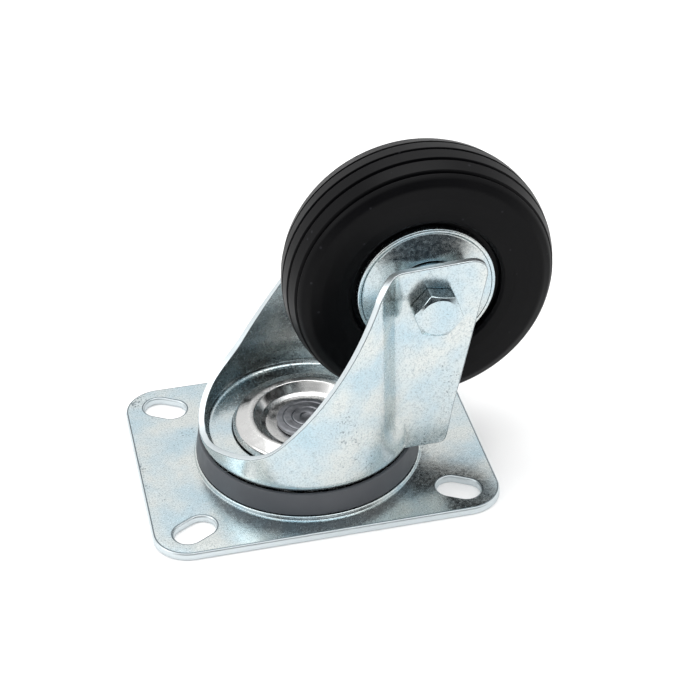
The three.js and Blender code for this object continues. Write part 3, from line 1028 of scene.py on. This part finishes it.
def bolt_shank(mesh, seat, begin, end):
    """A shank from seat to end with a helical thread from begin on. Returns its first and last ring."""
    heights = [seat]
    while heights[-1] < begin:
        heights.append(min(begin, heights[-1] + 6))
    while heights[-1] < end - 0.8:
        heights.append(heights[-1] + THREAD_PITCH / 10)
    rings = []
    for height in heights:
        fade = min(1, max(0, (height - begin) / 1.5)) * min(1, (end - height) / 0.4)
        ring = []
        for k in range(AXLE_SEGMENTS):
            turned = k / AXLE_SEGMENTS
            phase = ((height - begin) / THREAD_PITCH - turned) % 1
            cut = THREAD_DEPTH * fade * abs(2 * phase - 1) if height > begin else 0
            ring.append(mesh.verts.new(on_axle(BOLT_RADIUS - cut, 2 * math.pi * turned, height)))
        rings.append(ring)
    tip = [
        mesh.verts.new(on_axle(BOLT_RADIUS - 0.8, 2 * math.pi * k / AXLE_SEGMENTS, end))
        for k in range(AXLE_SEGMENTS)
    ]
    rings.append(tip)
    for low, high in zip(rings, rings[1:]):
        join(mesh, low, high)
    return rings[0], tip


class CasterAddAxle(bpy.types.Operator):
    """Add the axle bolt, its lock nut and the sleeve that the legs are clamped on"""

    bl_idname = "caster.add_axle"
    bl_label = "Axle"

    def execute(self, context):
        zinc = bright_zinc_plate()
        leg = context.scene.caster_fork.leg / MM
        seat = leg + LEG_GAP
        low, high = extent("axle_bolt")
        mesh = bmesh.new()
        inner, outer = hexagon(mesh, -seat, low.y, HEAD_TURN, HEAD_FLAT)
        mesh.faces.new(outer)
        shank, tip = bolt_shank(mesh, -seat, leg - THREAD_INSIDE, high.y)

        def angle_on_axle(vertex):
            return math.atan2(vertex.co.z - AXLE.z * MM, vertex.co.x - AXLE.x * MM) % (2 * math.pi)

        # The head is turned, so its ring is started again at the shank's first vertex.
        join(mesh, sorted(inner, key=angle_on_axle), shank)
        mesh.faces.new(tip)
        piece("axle_hex_bolt", mesh, [zinc], "swivel_fork", ["axle_bolt"], sharp=20)

        high = extent("axle_nut")[1]
        end, bore = seat + NUT_HEIGHT, BOLT_RADIUS + LEG_GAP
        mesh = bmesh.new()
        inner = hexagon(mesh, seat, end, 0, NUT_FLAT)[0]
        # The round collar over the hexagon, the pocket for the nylon ring and the bore.
        section = rounded(
            [
                (NUT_FLAT - 0.2, end, 0), (6.0, high.y - 0.5, 0.2), (5.6, high.y, 0.3),
                (5.2, high.y, 0.2), (5.2, end + 1.62, 0.1), (5.6, end + 1.6, 0.1),
                (5.6, end, 0.1), (bore, end, 0.1), (bore, seat, 0.1), (6.2, seat, 0),
            ],
            closed=False,
            steps=2,
        )
        rings = turn_outline(mesh, section, AXLE_SEGMENTS, on_axle, closed=False)
        join(mesh, rings[-1], inner)
        piece("axle_lock_nut", mesh, [zinc], "swivel_fork", ["axle_nut"], sharp=20)

        low, high = extent("nut_lock_ring")
        ring = tube_corners(4.2, 5.3, low.y, high.y, [0.1, 0.1, 0.1, 0.3])
        nylon = moulded_plastic("moulded_blue_nylon", context.scene.caster_finish.nylon)
        turned_piece(
            "nylon_lock_ring", ring, on_axle, 96, nylon,
            "swivel_fork", ["nut_lock_ring"],
        )

        low, high = extent("axle_sleeve")
        tube = tube_corners(4.4, 6, low.y, high.y, [0.2, 0.3, 0.3, 0.2])
        turned_piece(
            "sleeve_tube", tube, on_axle, 96, polished_race_steel(), "swivel_fork",
            ["axle_sleeve"],
        )
        return {"FINISHED"}


# ---------- wheel

TREAD_RADIUS = 40.4  # mm in the middle of the tread
GROOVES = (-9.6, -4.9, 0, 4.9, 9.6)  # mm from the middle
GROOVE_FLOOR = 0.3  # mm, half the width of a groove's flat bottom


class CasterAddRollerBearing(bpy.types.Operator):
    """Add the rollers and give their cage its plastic"""

    bl_idname = "caster.add_roller_bearing"
    bl_label = "Roller Bearing"

    def execute(self, context):
        nodes = [n for n in record["behaviour"]["bodies"]["roller_row"] if n != "roller_cage"]
        mesh = bmesh.new()
        for node in nodes:
            low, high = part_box(node)
            middle = (low + high) / 2
            half, radius = (high.y - low.y) / MM / 2, (high.z - low.z) / MM / 2

            def about_roller(distance, angle, height, middle=middle):
                """A point about the roller's own axis."""
                offset = Vector((distance * math.cos(angle), height, distance * math.sin(angle)))
                return middle + offset * MM

            ends = [(0, -half, 0), (radius, -half, 0.25), (radius, half, 0.25), (0, half, 0)]
            turn_outline(mesh, rounded(ends, closed=False), 24, about_roller, closed=False)
        piece("rollers", mesh, [polished_race_steel()], "roller_row", nodes)
        cage = frame["nodes"]["roller_cage"]
        cage.data.materials.clear()
        finish = context.scene.caster_finish
        cage.data.materials.append(moulded_plastic("moulded_grey_acetal", finish.cage))
        return {"FINISHED"}


class CasterAddTyre(bpy.types.Operator):
    """Add the ribbed rubber tyre"""

    bl_idname = "caster.add_tyre"
    bl_label = "Tyre"

    def execute(self, context):
        wheel = context.scene.caster_wheel
        half_width = extent("tyre")[1].y
        half_groove, depth = wheel.groove_width / MM / 2, wheel.groove_depth / MM

        def tread(y):
            """Radius of the crowned tread at a distance from its middle."""
            return TREAD_RADIUS - wheel.crown * y * y

        # From the bore out to the disc's groove, over the bulging side and round the shoulder.
        side = [
            (12.1, -8.9, 0.3), (21.9, -8.9, 0.3), (22.3, -9.2, 0.1), (22.45, -11.1, 0.2),
            (23.5, -11.85, 0.6), (26.5, -12.3, 3), (31, -half_width, 8),
            (34.8, -half_width + 0.05, 3), (37.2, -11.3, 2.2), (tread(-10.05), -10.05, 0.3),
        ]
        # The outermost grooves have the shoulder's corner as their outer lip.
        corners = list(side)
        for y in GROOVES:
            if y > GROOVES[0]:
                corners.append((tread(y - half_groove), y - half_groove, 0.2))
            corners.append((tread(y) - depth, y - GROOVE_FLOOR, 0.15))
            corners.append((tread(y) - depth, y + GROOVE_FLOOR, 0.15))
            if y < GROOVES[-1]:
                corners.append((tread(y + half_groove), y + half_groove, 0.2))
        corners += [(r, -y, fillet) for r, y, fillet in reversed(side)]
        turned_piece(
            "rubber_tyre", corners, on_axle, wheel.segments, moulded_black_rubber(), "wheel",
            ["tyre"],
        )
        return {"FINISHED"}


class CasterAddDiscs(bpy.types.Operator):
    """Add the two pressed discs and the hub tube"""

    bl_idname = "caster.add_discs"
    bl_label = "Rim Discs"

    def execute(self, context):
        zinc = bright_zinc_plate()
        for node, name in (
            ("rim_disc_head_side", "pressed_disc_head_side"),
            ("rim_disc_nut_side", "pressed_disc_nut_side"),
        ):
            low, high = extent(node)
            side = 1 if high.y > 0 else -1
            seat = min(abs(low.y), abs(high.y))
            collar = max(abs(low.y), abs(high.y))
            rim = (high.x - low.x) / 2
            # The collar, the dished inner face, the rolled edge in the tyre's groove and the outer face.
            corners = [
                (11.9, seat, 0.2), (13.1, seat, 0.2), (13.1, 12.4, 0.6), (rim - 1.5, 10.1, 0.5),
                (rim - 1.3, seat, 0.2), (rim, seat, 0.4), (rim, 11.5, 0.55),
                (rim - 1.0, 11.75, 0.4), (rim - 1.35, 11.45, 0.2), (rim - 1.75, 11.6, 0.3),
                (12.9, collar - 0.25, 0.6), (12.3, collar, 0.3), (11.9, collar, 0.2),
            ]
            corners = [(r, side * y, fillet) for r, y, fillet in corners]
            turned_piece(name, corners, on_axle, 160, zinc, "wheel", [node])
        low, high = extent("hub_tube")
        tube = tube_corners(9.8, 11.5, low.y, high.y, [0.3] * 4)
        turned_piece("hub_sleeve", tube, on_axle, 128, zinc, "wheel", ["hub_tube"])
        return {"FINISHED"}


# ---------- stage

LIT_SPOT = Vector((0, 0, 0.04))  # the lights face this point, in metres
FLOOR_REACH = 6  # metres from the middle of the floor to its edges


class CasterAddStage(bpy.types.Operator):
    """Add the floor, the soft light and the camera"""

    bl_idname = "caster.add_stage"
    bl_label = "Stage"

    def execute(self, context):
        scene = context.scene
        stage = scene.caster_stage
        mesh = bmesh.new()
        bmesh.ops.create_grid(mesh, x_segments=1, y_segments=1, size=FLOOR_REACH)
        data = bpy.data.meshes.new("floor")
        mesh.to_mesh(data)
        mesh.free()
        floor = bpy.data.objects.new("floor", data)
        floor.data.materials.append(white_floor())
        scene.collection.objects.link(floor)

        # A bright room, darker towards the front where nothing is lit.
        world = bpy.data.worlds.new("studio")
        scene.world = world
        world.use_nodes = True
        tree = world.node_tree
        tree.nodes.clear()
        way = add_node(tree, "ShaderNodeTexCoord").outputs["Generated"]
        parts = add_node(tree, "ShaderNodeSeparateXYZ", inputs={"Vector": way})
        front = ramp(tree, parts.outputs["Y"], -0.5, -0.75, kind="SMOOTHSTEP")
        low = ramp(tree, parts.outputs["Z"], 0.6, 0.48)
        dark = combine(tree, "MULTIPLY", front, low)
        shade = lay_over(tree, dark, (1, 1, 1), (0.02, 0.025, 0.03))
        background = add_node(tree, "ShaderNodeBackground", inputs={"Color": shade, "Strength": 1.05})
        add_node(tree, "ShaderNodeOutputWorld", inputs={"Surface": background.outputs[0]})

        for name, place, size, power in (
            ("overhead_softbox", (0.1, 0.25, 1.3), 1.1, 8),
            ("left_softbox", (-1.1, -0.1, 0.8), 0.7, 3),
        ):
            light = bpy.data.lights.new(name, "AREA")
            light.shape = "SQUARE"
            light.size = size
            light.energy = power
            lamp = bpy.data.objects.new(name, light)
            lamp.location = place
            lamp.rotation_mode = "QUATERNION"
            lamp.rotation_quaternion = (LIT_SPOT - Vector(place)).to_track_quat("-Z", "Y")
            scene.collection.objects.link(lamp)

        turn, rise = stage.azimuth, stage.elevation
        back = Vector((math.sin(turn) * math.cos(rise), -math.cos(turn) * math.cos(rise), math.sin(rise)))
        right = (-back).cross(Vector((0, 0, 1))).normalized()
        down = (-back).cross(right)
        across = right * math.cos(stage.roll) + down * math.sin(stage.roll)
        below = down * math.cos(stage.roll) - right * math.sin(stage.roll)
        lens = bpy.data.cameras.new("camera")
        lens.lens = stage.lens
        lens.sensor_width = 36
        lens.clip_start = 0.01
        camera = bpy.data.objects.new("camera", lens)
        turned = Matrix((across, -below, back)).transposed().to_4x4()
        camera.matrix_world = Matrix.Translation(Vector(stage.target) + back * stage.distance) @ turned
        scene.collection.objects.link(camera)
        scene.camera = camera
        scene.view_settings.view_transform = "Standard"
        return {"FINISHED"}


# ---------- add-on


OPERATORS = (
    CasterAddPlate,
    CasterAddSeal,
    CasterAddCup,
    CasterAddKingpin,
    CasterAddBalls,
    CasterAddFork,
    CasterAddAxle,
    CasterAddRollerBearing,
    CasterAddTyre,
    CasterAddDiscs,
    CasterAddStage,
)


class CasterPanel(bpy.types.Panel):
    """Buttons for every part of the caster"""

    bl_idname = "VIEW3D_PT_caster"
    bl_label = "Swivel Plate Caster"
    bl_space_type = "VIEW_3D"
    bl_region_type = "UI"
    bl_category = "Caster"

    def draw(self, context):
        for operator in OPERATORS:
            self.layout.operator(operator.bl_idname)
        for name, group in GROUPS.items():
            settings = getattr(context.scene, name)
            box = self.layout.box()
            for field in group.__annotations__:
                box.prop(settings, field)


def register():
    for group in (*GROUPS.values(), *OPERATORS, CasterPanel):
        bpy.utils.register_class(group)
    for name, group in GROUPS.items():
        setattr(bpy.types.Scene, name, PointerProperty(type=group))


def unregister():
    for name in GROUPS:
        delattr(bpy.types.Scene, name)
    for group in reversed((*GROUPS.values(), *OPERATORS, CasterPanel)):
        bpy.utils.unregister_class(group)


def main():
    register()
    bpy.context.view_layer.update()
    for operator in OPERATORS:
        group, action = operator.bl_idname.split(".")
        getattr(getattr(bpy.ops, group), action)()


if __name__ == "__main__":
    main()
